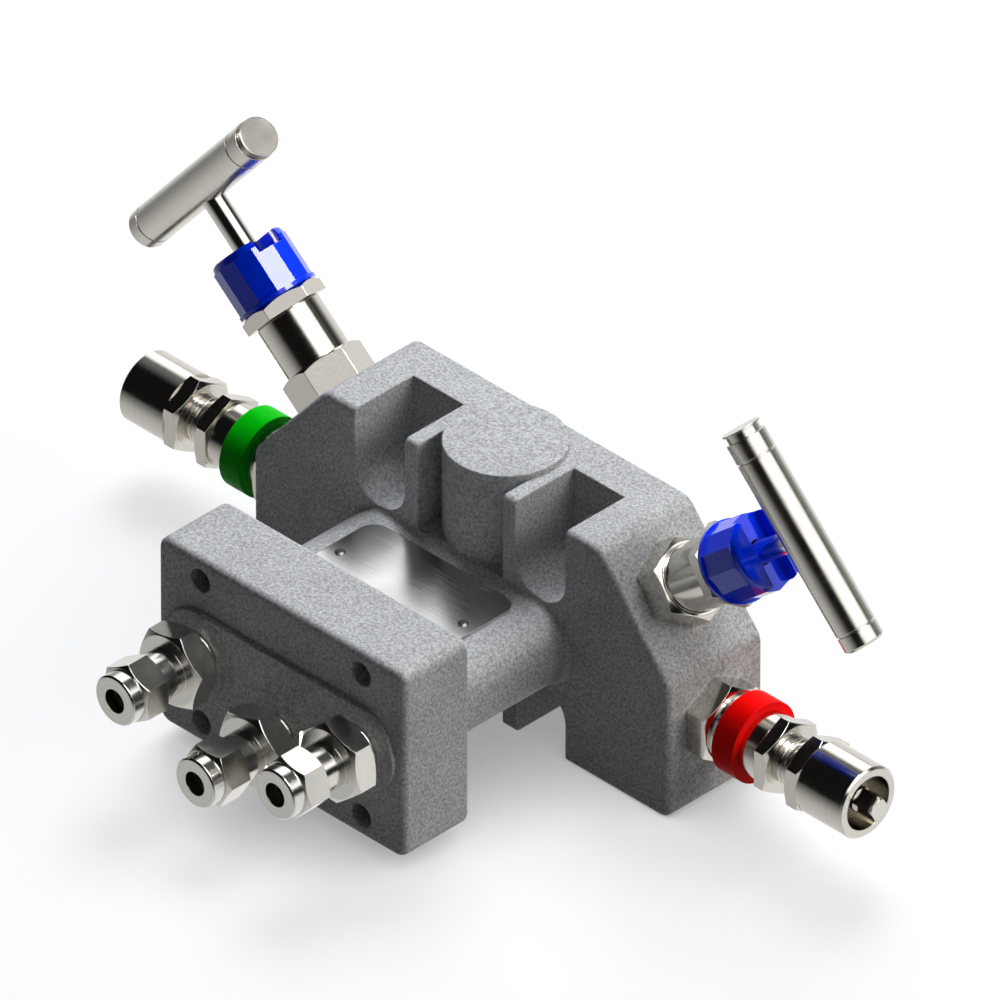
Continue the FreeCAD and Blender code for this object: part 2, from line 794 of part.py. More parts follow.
def connector(word, x, z, hex_turn, nut_turn):
    """One compression connector, drawn outwards from the port face: body, nut and two ferrules."""
    spot = (x, -port_face, z)
    tube_radius = size.tube_diameter / 2 + size.tube_fit
    hex_start = size.connector_stand_off
    hex_end = hex_start + size.connector_hex_height
    neck_end = hex_end + size.connector_neck_length
    nut_end = neck_end + size.tube_nut_hex_height
    front = nut_end + size.tube_nut_collar_length
    bore_radius = size.connector_bore / 2
    neck_radius = size.connector_neck_diameter / 2
    spigot_radius = size.ferrule_outer / 2 + size.spigot_wall
    spigot_end = nut_end - size.spigot_set_back
    nut_bore = spigot_radius + size.thread_fit

    body = new_body(f"ConnectorBody_{word}")
    hexes = polygon(body, "XY_Plane", "hex_outline", hexagon(size.connector_hex, hex_turn), hex_start)
    pad(body, hexes, "hex", size.connector_hex_height)
    chamfer_hex(body, "hex", size.connector_hex, hex_start, hex_end)
    thread_radius = size.connector_thread / 2
    revolve(
        body,
        "thread",
        [
            (0.0, -size.connector_thread_length),
            (thread_radius - size.thread_lead, -size.connector_thread_length),
            (thread_radius, size.thread_lead - size.connector_thread_length),
            (thread_radius, hex_start + PAST),
            (0.0, hex_start + PAST),
        ],
    )
    revolve(
        body,
        "neck",
        [
            (0.0, hex_end - PAST),
            (neck_radius, hex_end - PAST),
            (neck_radius, neck_end),
            (spigot_radius, neck_end),
            (spigot_radius, spigot_end),
            (0.0, spigot_end),
        ],
    )
    seat_low = spigot_end - size.ferrule_front_length
    groove(
        body,
        "bore",
        [
            (0.0, -size.connector_thread_length - PAST),
            (bore_radius, -size.connector_thread_length - PAST),
            (bore_radius, seat_low - size.tube_stop_depth),
            (tube_radius, seat_low - size.tube_stop_depth),
            (tube_radius, seat_low),
            (size.ferrule_outer / 2, spigot_end),
            (size.ferrule_outer / 2, spigot_end + PAST),
            (0.0, spigot_end + PAST),
        ],
    )
    place(body, spot, (1, 0, 0), 90.0)
    finish(body, f"connector_body_{word}")

    nut = new_body(f"TubeNut_{word}")
    hexes = polygon(nut, "XY_Plane", "hex_outline", hexagon(size.tube_nut_hex, nut_turn), neck_end)
    pad(nut, hexes, "hex", size.tube_nut_hex_height)
    chamfer_hex(nut, "hex", size.tube_nut_hex, neck_end, nut_end)
    collar = size.tube_nut_collar_diameter / 2
    revolve(
        nut,
        "collar",
        [
            (0.0, nut_end - PAST),
            (collar, nut_end - PAST),
            (collar, front - size.edge_break),
            (collar - size.edge_break, front),
            (0.0, front),
        ],
    )
    ferrule_top = spigot_end + size.ferrule_back_length
    groove(
        nut,
        "bore",
        [
            (0.0, neck_end - PAST),
            (nut_bore, neck_end - PAST),
            (nut_bore, ferrule_top),
            (tube_radius, ferrule_top),
            (tube_radius, front + PAST),
            (0.0, front + PAST),
        ],
    )
    place(nut, spot, (1, 0, 0), 90.0)
    finish(nut, f"tube_nut_{word}")

    front_ferrule = new_body(f"FrontFerrule_{word}")
    revolve(
        front_ferrule,
        "cone",
        [
            (tube_radius, seat_low),
            (size.ferrule_outer / 2, spigot_end),
            (tube_radius, spigot_end),
        ],
    )
    place(front_ferrule, spot, (1, 0, 0), 90.0)
    back_ferrule = new_body(f"BackFerrule_{word}")
    outer = size.ferrule_outer / 2
    revolve(back_ferrule, "ring", rectangle(tube_radius, outer, spigot_end, ferrule_top))
    place(back_ferrule, spot, (1, 0, 0), 90.0)
    return front_ferrule, back_ferrule


def connectors():
    left = connector("left", -half_pitch_across, 0.0, size.connector_angle_left, size.nut_angle_left)
    drop = -size.vent_port_drop
    middle = connector("vent", 0.0, drop, size.connector_angle_middle, size.nut_angle_middle)
    right = connector("right", half_pitch_across, 0.0, size.connector_angle_right, size.nut_angle_right)
    group([left[0], middle[0], right[0]], "front_ferrules")
    group([left[1], middle[1], right[1]], "back_ferrules")


# Valve parts shared by all four valves

gland_top = size.packing_floor + size.packing_height + size.gland_ring_height
cone_spread = needle_radius - size.needle_tip_diameter / 2
cone_in_seat = size.needle_cone_length * (needle_radius - size.seat_bore / 2) / cone_spread


def needle_heights(lift):
    """Where the needle's cone and its body end, for a valve that stands open by a lift."""
    cone_start = lift + size.seat_clearance - size.seat_depth + cone_in_seat
    return cone_start, cone_start + size.needle_body_length


def bonnet(name, hex_height, barrel_length, turn, placing):
    """Bonnet: threaded shank, hexagon and barrel, bored for the needle, the packing and the adjuster."""
    body = new_body(name)
    barrel_end = hex_height + barrel_length
    pad(body, polygon(body, "XY_Plane", "hex_outline", hexagon(size.bonnet_hex, turn)), "hex", hex_height)
    chamfer_hex(body, "hex", size.bonnet_hex, 0.0, hex_height, bottom=False)
    shank = size.valve_thread / 2
    barrel = size.barrel_diameter / 2
    revolve(
        body,
        "shank",
        [
            (0.0, -size.valve_thread_length),
            (shank - size.thread_lead, -size.valve_thread_length),
            (shank, size.thread_lead - size.valve_thread_length),
            (shank, PAST),
            (0.0, PAST),
        ],
    )
    revolve(
        body,
        "barrel",
        [
            (0.0, hex_height - PAST),
            (barrel, hex_height - PAST),
            (barrel, barrel_end - size.edge_break),
            (barrel - size.edge_break, barrel_end),
            (0.0, barrel_end),
        ],
    )
    guide = needle_radius + size.running_fit
    chamber = size.packing_bore / 2
    groove(
        body,
        "bore",
        [
            (0.0, -size.valve_thread_length - PAST),
            (guide, -size.valve_thread_length - PAST),
            (guide, size.packing_floor),
            (chamber, size.packing_floor),
            (chamber, barrel_end + PAST),
            (0.0, barrel_end + PAST),
        ],
    )
    place(body, *placing)
    return body


def needle(name, lift, placing):
    """Needle tip that slides without turning, with a pocket in which the stem's button swivels."""
    body = new_body(name)
    cone_start, needle_top = needle_heights(lift)
    tip = size.needle_tip_diameter / 2
    revolve(
        body,
        "needle",
        [
            (0.0, cone_start - size.needle_cone_length),
            (tip, cone_start - size.needle_cone_length),
            (needle_radius, cone_start),
            (needle_radius, needle_top),
            (0.0, needle_top),
        ],
    )
    neck = size.button_neck_diameter / 2 + size.swivel_fit
    pocket_radius = size.button_diameter / 2 + size.swivel_fit
    ceiling = needle_top - size.button_neck_height + size.swivel_fit
    floor = ceiling - size.button_height - 2 * size.swivel_fit
    groove(
        body,
        "swivel_pocket",
        [
            (0.0, floor),
            (pocket_radius, floor),
            (pocket_radius, ceiling),
            (neck, ceiling),
            (neck, needle_top + PAST),
            (0.0, needle_top + PAST),
        ],
    )
    place(body, *placing)
    return body


def stem_profile(lift, top):
    """A stem with a button at its foot, up to a height."""
    needle_top = needle_heights(lift)[1]
    stem_foot = needle_top + size.swivel_fit
    neck = size.button_neck_diameter / 2
    button = size.button_diameter / 2
    button_top = needle_top - size.button_neck_height
    return [
        (0.0, button_top - size.button_height),
        (button, button_top - size.button_height),
        (button, button_top),
        (neck, button_top),
        (neck, stem_foot),
        (stem_radius, stem_foot),
        (stem_radius, top),
        (0.0, top),
    ]


def packing_and_gland(prefix, placing):
    """Stem packing and the metal ring that presses on it."""
    inner = stem_radius + size.running_fit
    outer = size.packing_bore / 2 - size.running_fit
    packing = new_body(f"{prefix}_packing_body")
    top = size.packing_floor + size.packing_height
    revolve(packing, "ring", rectangle(inner, outer, size.packing_floor, top))
    place(packing, *placing)
    finish(packing, f"{prefix}_packing")
    gland = new_body(f"{prefix}_gland_body")
    revolve(gland, "ring", rectangle(inner, outer, top, gland_top))
    place(gland, *placing)
    finish(gland, f"{prefix}_gland_ring")


def adjuster(prefix, top, placing):
    """Threaded bush that loads the packing and carries the stem's thread."""
    body = new_body(f"{prefix}_adjuster_body")
    outer = size.packing_bore / 2 - size.thread_fit
    profile = [
        (stem_radius + size.running_fit, gland_top),
        (outer, gland_top),
        (outer, top - size.edge_break),
        (outer - size.edge_break, top),
        (stem_radius + size.running_fit, top),
    ]
    revolve(body, "bush", profile)
    place(body, *placing)
    finish(body, f"{prefix}_packing_adjuster")


def lock_nut(prefix, across_flats, start, turn, placing):
    """Thin hexagon nut that locks the adjuster against the bonnet."""
    body = new_body(f"{prefix}_lock_nut_body")
    hexes = polygon(body, "XY_Plane", "hex_outline", hexagon(across_flats, turn), start)
    pad(body, hexes, "hex", size.lock_nut_height)
    top = start + size.lock_nut_height
    chamfer_hex(body, "hex", across_flats, start, top, bottom=False)
    radius = size.packing_bore / 2
    groove(body, "bore", rectangle(0.0, radius, start - PAST, top + PAST))
    place(body, *placing)
    finish(body, f"{prefix}_lock_nut")


# Isolating valves


def dust_cap(prefix, start, placing):
    """Coloured cap: faceted skirt, thin rim, rounded crown, a slot across it and a hole for the stem."""
    body = new_body(f"{prefix}_cap_body")
    radius = size.cap_diameter / 2
    rim_top = start + size.cap_rim_height
    top = start + size.cap_height
    shoulder = top - size.cap_crown_height
    step = 360.0 / CAP_FACETS
    corner = radius / math.cos(math.radians(step / 2))
    skirt = [(corner * cosine(step * k), corner * sine(step * k)) for k in range(CAP_FACETS)]
    outline = polygon(body, "XY_Plane", "skirt_outline", skirt, rim_top)
    pad(body, outline, "skirt", size.cap_height - size.cap_rim_height)
    crown = size.cap_crown_diameter / 2
    groove(
        body,
        "crown_round",
        [
            (radius + size.running_fit, shoulder),
            (radius + 2 * PAST, shoulder),
            (radius + 2 * PAST, top + PAST),
            (crown, top + PAST),
            (crown, top),
            (radius - size.cap_crown_step_width, top - size.cap_crown_step_height),
        ],
    )
    rim = size.cap_rim_diameter / 2
    revolve(body, "rim", rectangle(0.0, rim, start, rim_top))
    slot = rectangle(-rim, rim, -size.cap_slot_width / 2, size.cap_slot_width / 2)
    outline = polygon(body, "XY_Plane", "slot_outline", slot, top)
    pocket(body, outline, "slot", size.cap_slot_depth)
    hollow = radius - size.cap_wall
    hole = stem_radius + size.cap_hole_clearance
    groove(
        body,
        "hollow",
        [
            (0.0, start - PAST),
            (hollow, start - PAST),
            (hollow, top - size.cap_slot_depth - size.cap_wall),
            (hole, top - size.cap_slot_depth - size.cap_wall),
            (hole, top + PAST),
            (0.0, top + PAST),
        ],
    )
    place(body, *placing)
    finish(body, f"{prefix}_dust_cap")


def bar_handle(prefix, height, turn, placing):
    """Round bar handle: a collar near each end, a disc on the upper one, and a cross bore for the stem."""
    body = new_body(f"{prefix}_handle_body")
    radius = size.handle_diameter / 2
    half = size.handle_length / 2
    cut = radius - size.handle_groove_depth
    edge = size.handle_end_chamfer
    width = size.handle_groove_width
    lower_collar = half - size.handle_lower_collar
    disc = size.handle_disc_diameter / 2
    waist = radius - size.handle_waist_depth
    disc_back = half - size.handle_disc_thickness
    upper_collar_end = disc_back - size.handle_waist_width
    upper_collar = upper_collar_end - size.handle_upper_collar
    lower_end = [
        (lower_collar - width, radius),
        (lower_collar - width, cut),
        (lower_collar, cut),
        (lower_collar, radius),
        (half - edge, radius),
        (half, radius - edge),
        (half, 0.0),
    ]
    upper_end = [
        (-half, 0.0),
        (-half, disc),
        (-disc_back, disc),
        (-disc_back, waist),
        (-upper_collar_end, waist),
        (-upper_collar_end, radius),
        (-upper_collar, radius),
        (-upper_collar, cut),
        (width - upper_collar, cut),
        (width - upper_collar, radius),
    ]
    profile = upper_end + lower_end
    revolve(body, "bar", profile, "H_Axis", "XY_Plane", height, turn)
    grip_low = height - radius - PAST
    grip_high = height + size.handle_grip_depth
    hole = stem_radius + size.tube_fit
    groove(body, "stem_hole", rectangle(0.0, hole, grip_low, grip_high))
    screw = size.grub_screw_diameter / 2
    screw_bore = rectangle(0.0, half + PAST, 0.0, screw)
    groove(body, "screw_bore", screw_bore, "H_Axis", "XY_Plane", height, turn)
    place(body, *placing)
    finish(body, f"{prefix}_handle")


def grub_screw(prefix, height, turn, placing):
    """Screw inside the bar, in from its lower end, that bites on the stem."""
    body = new_body(f"{prefix}_grub_screw_body")
    radius = size.grub_screw_diameter / 2 - size.thread_fit
    start = stem_radius + size.tube_fit
    end = start + size.grub_screw_length
    profile = [
        (start, 0.0),
        (start, radius - size.grub_screw_point),
        (start + size.grub_screw_point, radius),
        (end, radius),
        (end, 0.0),
    ]
    revolve(body, "screw", profile, "H_Axis", "XY_Plane", height, turn)
    key = rectangle(end - size.grub_screw_hex_depth, end + PAST, 0.0, size.grub_screw_hex / math.sqrt(3))
    groove(body, "key_socket", key, "H_Axis", "XY_Plane", height, turn)
    place(body, *placing)
    finish(body, f"{prefix}_handle_screw")


def isolate_valve(prefix, side, lift, hex_turn, handle_turn):
    placing = ((side * isolate_x, -half_depth, isolate_z), (0, side, 0), size.isolate_axis_angle)
    hex_height = size.isolate_bonnet_hex_height
    barrel_end = hex_height + size.isolate_barrel_length
    cap_start = barrel_end + size.lock_nut_height
    cap_floor = cap_start + size.cap_height - size.cap_slot_depth - size.cap_wall
    handle_height = size.handle_closed_height + lift
    finish(
        bonnet(f"{prefix}_bonnet_body", hex_height, size.isolate_barrel_length, hex_turn, placing),
        f"{prefix}_bonnet",
    )
    finish(needle(f"{prefix}_needle_body", lift, placing), f"{prefix}_needle")
    stem = new_body(f"{prefix}_stem_body")
    stem_top = handle_height + size.handle_grip_depth - size.running_fit
    revolve(stem, "stem", stem_profile(lift, stem_top))
    place(stem, *placing)
    finish(stem, f"{prefix}_stem")
    packing_and_gland(prefix, placing)
    adjuster(prefix, cap_floor - size.adjuster_head_room, placing)
    lock_nut(prefix, size.isolate_lock_hex, barrel_end, hex_turn, placing)
    dust_cap(prefix, cap_start, placing)
    bar_handle(prefix, handle_height, handle_turn, placing)
    grub_screw(prefix, handle_height, handle_turn, placing)


# Lower valves


def colour_band(prefix, placing):
    body = new_body(f"{prefix}_band_body")
    inner = size.barrel_diameter / 2
    outer = size.band_diameter / 2
    revolve(body, "band", rectangle(inner, outer, size.band_start, size.band_start + size.band_width))
    place(body, *placing)
    finish(body, f"{prefix}_colour_band")


def shroud(prefix, start, placing):
    """Guard sleeve with a hexagon at its foot, screwed on the adjuster round the key-operated spindle."""
    body = new_body(f"{prefix}_shroud_body")
    hex_top = start + size.shroud_hex_height
    end = start + size.shroud_length
    pad(
        body,
        polygon(body, "XY_Plane", "hex_outline", hexagon(size.shroud_hex), start),
        "hex",
        size.shroud_hex_height,
    )
    chamfer_hex(body, "hex", size.shroud_hex, start, hex_top)
    outer = size.shroud_diameter / 2
    edge = size.shroud_chamfer
    sleeve = [
        (0.0, hex_top - edge),
        (outer, hex_top - edge),
        (outer, end - edge),
        (outer - edge, end),
        (0.0, end),
    ]
    revolve(body, "sleeve", sleeve)
    thread = size.packing_bore / 2
    inner = size.shroud_bore / 2
    floor = start + size.shroud_floor
    hollow = [
        (0.0, start - PAST),
        (thread, start - PAST),
        (thread, floor),
        (inner, floor),
        (inner, end + PAST),
        (0.0, end + PAST),
    ]
    groove(body, "hollow", hollow)
    place(body, *placing)
    finish(body, f"{prefix}_shroud")


def spindle(prefix, top, placing):
    """Spindle with four flats milled on its outer end for the key."""
    body = new_body(f"{prefix}_spindle_body")
    sides = stem_profile(size.lower_lift, top - size.edge_break)[:-1]
    profile = sides + [(stem_radius - size.edge_break, top), (0.0, top)]
    revolve(body, "spindle", profile)
    half = size.driver_flats / 2
    drawing = attach(body, "XY_Plane", "flats_outline", top + PAST, size.driver_angle)
    add_polygon(drawing, rectangle(-half, half, -half, half))
    add_polygon(drawing, rectangle(-2 * half, 2 * half, -2 * half, 2 * half))
    pocket(body, drawing, "flats", size.driver_length + PAST)
    place(body, *placing)
    finish(body, f"{prefix}_spindle")


def lower_valve(prefix, side, barrel_length):
    spot = (side * size.block_width / 2, -half_depth, -size.cross_bore_drop)
    placing = (spot, (0, side, 0), as_size(90.0))
    hex_height = size.lower_bonnet_hex_height
    barrel_end = hex_height + barrel_length
    shroud_start = barrel_end + size.lock_nut_height + size.shroud_gap
    finish(
        bonnet(f"{prefix}_bonnet_body", hex_height, barrel_length, 0.0, placing),
        f"{prefix}_bonnet",
    )
    finish(needle(f"{prefix}_needle_body", size.lower_lift, placing), f"{prefix}_needle")
    spindle(prefix, shroud_start + size.shroud_length + size.driver_stand_out, placing)
    packing_and_gland(prefix, placing)
    adjuster(prefix, shroud_start + size.shroud_floor, placing)
    lock_nut(prefix, size.lower_lock_hex, barrel_end, 0.0, placing)
    colour_band(prefix, placing)
    shroud(prefix, shroud_start, placing)


casting()
nameplate()
nameplate_pins()
instrument_seals()
connectors()
isolate_valve(
    "isolate_left", -1, size.isolate_lift_left, size.isolate_hex_angle_left, size.handle_angle_left
)
isolate_valve(
    "isolate_right", 1, size.isolate_lift_right, size.isolate_hex_angle_right, size.handle_angle_right
)
lower_valve("equalise", -1, size.equalise_barrel_length)
lower_valve("vent", 1, size.vent_barrel_length)
doc.recompute()

# Nothing is written unless every object and every piece came out sound
for item in doc.Objects:
    if "Invalid" in item.State or "Error" in item.State:
        raise RuntimeError(f"{item.Label} failed: {item.State}")
for node in NODES:
    shape = node.Shape
    if shape.isNull() or not shape.isValid() or not shape.Solids:
        raise RuntimeError(f"{node.Label} has no sound solid")

os.makedirs("parts", exist_ok=True)
for node in NODES:
    node.Shape.exportStep(os.path.join("parts", f"{node.Label}.step"))
    print(f"{node.Label}: {len(node.Shape.Solids)} solid, {node.Shape.Volume:.1f} mm3")
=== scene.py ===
"""Looks of the instrument valve manifold: finishes, exposed threads, stage, light and camera.

Lengths are in metres, in the part's frame.
"""

import math

import bpy
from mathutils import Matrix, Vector


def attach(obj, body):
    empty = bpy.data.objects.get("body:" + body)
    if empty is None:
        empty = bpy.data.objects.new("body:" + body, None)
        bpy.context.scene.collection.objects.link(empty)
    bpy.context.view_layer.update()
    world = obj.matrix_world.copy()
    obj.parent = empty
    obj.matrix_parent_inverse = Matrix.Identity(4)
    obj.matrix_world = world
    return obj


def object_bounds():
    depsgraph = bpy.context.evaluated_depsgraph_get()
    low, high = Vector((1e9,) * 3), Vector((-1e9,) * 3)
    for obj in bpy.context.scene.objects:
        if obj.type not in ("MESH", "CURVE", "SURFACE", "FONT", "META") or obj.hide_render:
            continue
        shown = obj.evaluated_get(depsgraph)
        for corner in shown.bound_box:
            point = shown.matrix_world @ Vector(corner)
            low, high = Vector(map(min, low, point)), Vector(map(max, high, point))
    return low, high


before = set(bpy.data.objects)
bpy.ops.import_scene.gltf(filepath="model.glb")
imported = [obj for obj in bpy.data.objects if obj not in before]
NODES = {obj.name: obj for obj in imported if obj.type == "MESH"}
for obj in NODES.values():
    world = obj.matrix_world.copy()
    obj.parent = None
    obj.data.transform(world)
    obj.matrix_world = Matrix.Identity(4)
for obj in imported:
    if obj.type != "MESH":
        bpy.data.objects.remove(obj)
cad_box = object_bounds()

MM = 0.001


# Axes of the turned pieces: a point on each and its direction, outwards


def point(across, along, up):
    """A point given in millimetres."""
    return Vector((across, along, up)) * MM


SHOULDER = math.radians(50.0)
LEFT_AXIS = Vector((-math.sin(SHOULDER), 0, math.cos(SHOULDER)))
RIGHT_AXIS = Vector((math.sin(SHOULDER), 0, math.cos(SHOULDER)))
LEFT_BAR = Vector((math.cos(SHOULDER), 0, math.sin(SHOULDER)))
RIGHT_BAR = Vector((0.642, 0.061, -0.765)).normalized()
LEFT_SEAT = point(-56.65, -15.5, 23.38)
RIGHT_SEAT = point(56.65, -15.5, 23.38)
LEFT_BAR_HEIGHT = 59.5
RIGHT_BAR_HEIGHT = 55.5
OUT_OF_FLANGE = Vector((0, -1, 0))
PORTS = ("left", "vent", "right")
AXES = {
    "isolate_left": (LEFT_SEAT, LEFT_AXIS),
    "isolate_right": (RIGHT_SEAT, RIGHT_AXIS),
    "isolate_left_handle": (LEFT_SEAT + LEFT_AXIS * LEFT_BAR_HEIGHT * MM, LEFT_BAR),
    "isolate_right_handle": (RIGHT_SEAT + RIGHT_AXIS * RIGHT_BAR_HEIGHT * MM, RIGHT_BAR),
    "equalise": (point(-70, -15.5, -7.5), Vector((-1, 0, 0))),
    "vent": (point(70, -15.5, -7.5), Vector((1, 0, 0))),
    "port_left": (point(-27, -92.3, 0), OUT_OF_FLANGE),
    "port_vent": (point(0, -92.3, -10.4), OUT_OF_FLANGE),
    "port_right": (point(27, -92.3, 0), OUT_OF_FLANGE),
}


# Node helpers


def put(tree, socket, value):
    """Links another node's socket, or sets a plain value."""
    if isinstance(value, bpy.types.NodeSocket):
        tree.links.new(value, socket)
    else:
        socket.default_value = value


def node(tree, kind, inputs=None, **settings):
    """Adds a shader node; inputs may be values or sockets of other nodes."""
    made = tree.nodes.new(kind)
    for key, value in settings.items():
        setattr(made, key, value)
    for key, value in (inputs or {}).items():
        put(tree, made.inputs[key], value)
    return made


def math_node(tree, operation, first, second):
    made = node(tree, "ShaderNodeMath", {0: first, 1: second}, operation=operation)
    return made.outputs[0]


def vector_node(tree, operation, *vectors):
    return node(tree, "ShaderNodeVectorMath", dict(enumerate(vectors)), operation=operation)


def map_range(tree, value, source, target=(0.0, 1.0)):
    """Carries one range of values to another, held at its ends."""
    ends = {0: value, 1: source[0], 2: source[1], 3: target[0], 4: target[1]}
    return node(tree, "ShaderNodeMapRange", ends).outputs[0]


def mix_colour(tree, factor, first, second, blend="MIX"):
    """Mixes two colours through the node's factor and colour sockets, which are 0, 6 and 7."""
    inputs = {0: factor, 6: first, 7: second}
    made = node(tree, "ShaderNodeMix", data_type="RGBA", blend_type=blend)
    for index, value in inputs.items():
        put(tree, made.inputs[index], value)
    return made.outputs[2]


def mix_shader(tree, factor, first, second):
    inputs = {0: factor, 1: first.outputs[0], 2: second.outputs[0]}
    return node(tree, "ShaderNodeMixShader", inputs)


def colour(red, green, blue):
    return (red, green, blue, 1.0)


def grey(tree, level):
    """A grey colour socket from a level socket."""
    return node(tree, "ShaderNodeCombineColor", {0: level, 1: level, 2: level}).outputs[0]


def object_place(tree):
    return node(tree, "ShaderNodeTexCoord").outputs["Object"]


def noise(tree, place, scale, detail=2.0, roughness=0.5):
    inputs = {"Vector": place, "Scale": scale, "Detail": detail, "Roughness": roughness}
    return node(tree, "ShaderNodeTexNoise", inputs).outputs["Fac"]


def edge_mask(tree, radius):
    """Rounded shading normal of the edges, and how far it leans: 0 on flats and 1 on edges."""
    rounded = node(tree, "ShaderNodeBevel", {"Radius": radius}, samples=6).outputs["Normal"]
    face = node(tree, "ShaderNodeNewGeometry").outputs["Normal"]
    upright = vector_node(tree, "DOT_PRODUCT", rounded, face).outputs["Value"]
    flat, edge = 0.999, 0.85
    return rounded, map_range(tree, upright, (flat, edge))


def wear_and_highlight(tree, base, edges, share, worn_highlight):
    """Lets a lighter colour show by a share on the edges: wear and a painted edge highlight."""
    return mix_colour(tree, math_node(tree, "MULTIPLY", edges, share), base, worn_highlight)


def bump(tree, height, strength, distance, normal):
    inputs = {"Height": height, "Strength": strength, "Distance": distance, "Normal": normal}
    return node(tree, "ShaderNodeBump", inputs).outputs["Normal"]


def turned_place(tree, origin, axis):
    """Radius and height about an axis as a flat coordinate, the same all the way round."""
    shifted = vector_node(tree, "SUBTRACT", object_place(tree), tuple(origin)).outputs["Vector"]
    height = vector_node(tree, "DOT_PRODUCT", shifted, tuple(axis)).outputs["Value"]
    across = vector_node(tree, "CROSS_PRODUCT", shifted, tuple(axis)).outputs["Vector"]
    radius = vector_node(tree, "LENGTH", across).outputs["Value"]
    inputs = {"X": radius, "Y": height, "Z": 0.0}
    return node(tree, "ShaderNodeCombineXYZ", inputs).outputs["Vector"]


# Finishes


STEEL = (0.66, 0.63, 0.575)
BRIGHT = (0.68, 0.66, 0.615)
PIN_STEEL = (0.16, 0.155, 0.15)
# Lighter edge colour of steel: wear and a painted edge highlight
WORN_HIGHLIGHT_STEEL = colour(0.76, 0.74, 0.7)
CASTING_DARK = colour(0.235, 0.235, 0.24)
CASTING_PALE = colour(0.485, 0.49, 0.495)
# Lighter edge colour of the casting: wear and a painted edge highlight
WORN_HIGHLIGHT_CASTING = colour(0.6, 0.6, 0.59)
SHEET_DARK = colour(0.56, 0.55, 0.54)
SHEET_PALE = colour(0.64, 0.63, 0.62)
# Lighter edge colour of the sheet: wear and a painted edge highlight
WORN_HIGHLIGHT_SHEET = colour(0.85, 0.84, 0.82)
# Plastics: main tone and the darker one of the flow marks
CAP_BLUE = ((0.0, 0.04, 0.95), (0.0, 0.03, 0.85))
BAND_GREEN = ((0.0, 0.42, 0.003), (0.0, 0.36, 0.002))
BAND_RED = ((0.95, 0.001, 0.001), (0.88, 0.001, 0.001))
PACKING_WHITE = ((0.82, 0.82, 0.8), (0.76, 0.76, 0.74))
# The range in which nearly all values of a noise lie
NOISE_SPAN = (0.3, 0.7)


def new_material(name, **constants):
    """A material with a principled shader whose own sockets hold the constant values."""
    material = bpy.data.materials.new(name)
    material.use_nodes = True
    tree = material.node_tree
    tree.nodes.clear()
    shader = tree.nodes.new("ShaderNodeBsdfPrincipled")
    output = tree.nodes.new("ShaderNodeOutputMaterial")
    tree.links.new(shader.outputs["BSDF"], output.inputs["Surface"])
    for key, value in constants.items():
        shader.inputs[key.replace("_", " ")].default_value = value
    return material, tree, shader


def link_surface(tree, shader, base, roughness, normal):
    """Links the three inputs that vary over a surface."""
    tree.links.new(base, shader.inputs["Base Color"])
    tree.links.new(roughness, shader.inputs["Roughness"])
    tree.links.new(normal, shader.inputs["Normal"])


def casting_finish():
    """Blasted casting skin: fine light and dark grain, soft mottling, edges lighter in patches as
    wear and a painted highlight.
    """
    material, tree, shader = new_material("casting_skin", Metallic=0.1, Specular_IOR_Level=0.3)
    place = object_place(tree)
    grain = noise(tree, place, scale=1350.0, roughness=0.7)
    cells = node(tree, "ShaderNodeTexVoronoi", {"Vector": place, "Scale": 1400.0})
    fleck = cells.outputs["Distance"]
    mottle = noise(tree, place, scale=90.0, detail=3.0, roughness=0.55)
    tone = map_range(tree, grain, (0.34, 0.66))
    base = mix_colour(tree, tone, CASTING_DARK, CASTING_PALE)
    pits = grey(tree, map_range(tree, fleck, (0.1, 0.55), (0.88, 1.05)))
    base = mix_colour(tree, 1.0, base, pits, "MULTIPLY")
    cloud = grey(tree, map_range(tree, mottle, NOISE_SPAN, (0.93, 1.06)))
    base = mix_colour(tree, 1.0, base, cloud, "MULTIPLY")
    rounded, edges = edge_mask(tree, 0.9 * MM)
    patches = map_range(tree, grain, (0.4, 0.7), (0.0, 0.25))
    # Edges lighter in patches: wear and a painted edge highlight
    base = wear_and_highlight(tree, base, edges, patches, WORN_HIGHLIGHT_CASTING)
    rough = map_range(tree, grain, NOISE_SPAN, (0.68, 0.5))
    relief = math_node(tree, "ADD", grain, math_node(tree, "MULTIPLY", fleck, 0.5))
    normal = bump(tree, relief, strength=0.3, distance=0.12 * MM, normal=rounded)
    link_surface(tree, shader, base, rough, normal)
    return material


def steel_finish(name, tint, roughness, origin, axis, rings=2600.0, depth=0.003 * MM):
    """Turned or milled steel: fine tool rings about its axis, faint smears and bright edges, worn
    and a painted highlight.
    """
    material, tree, shader = new_material(name, Metallic=1.0)
    turned = turned_place(tree, origin, axis)
    lines = noise(tree, turned, scale=rings, detail=3.0, roughness=0.65)
    smear = noise(tree, object_place(tree), scale=160.0, detail=3.0, roughness=0.6)
    rounded, edges = edge_mask(tree, 0.22 * MM)
    dimming = 0.93
    dark = colour(*(dimming * part for part in tint))
    base = mix_colour(tree, map_range(tree, lines, (0.35, 0.65)), dark, colour(*tint))
    # Bright edges: wear and a painted edge highlight
    base = wear_and_highlight(tree, base, edges, 0.5, WORN_HIGHLIGHT_STEEL)
    rough = math_node(tree, "ADD", map_range(tree, lines, NOISE_SPAN, (-0.03, 0.04)), roughness)
    rough = math_node(tree, "ADD", rough, map_range(tree, smear, NOISE_SPAN, (-0.03, 0.05)))
    normal = bump(tree, lines, strength=0.35, distance=depth, normal=rounded)
    link_surface(tree, shader, base, rough, normal)
    return material


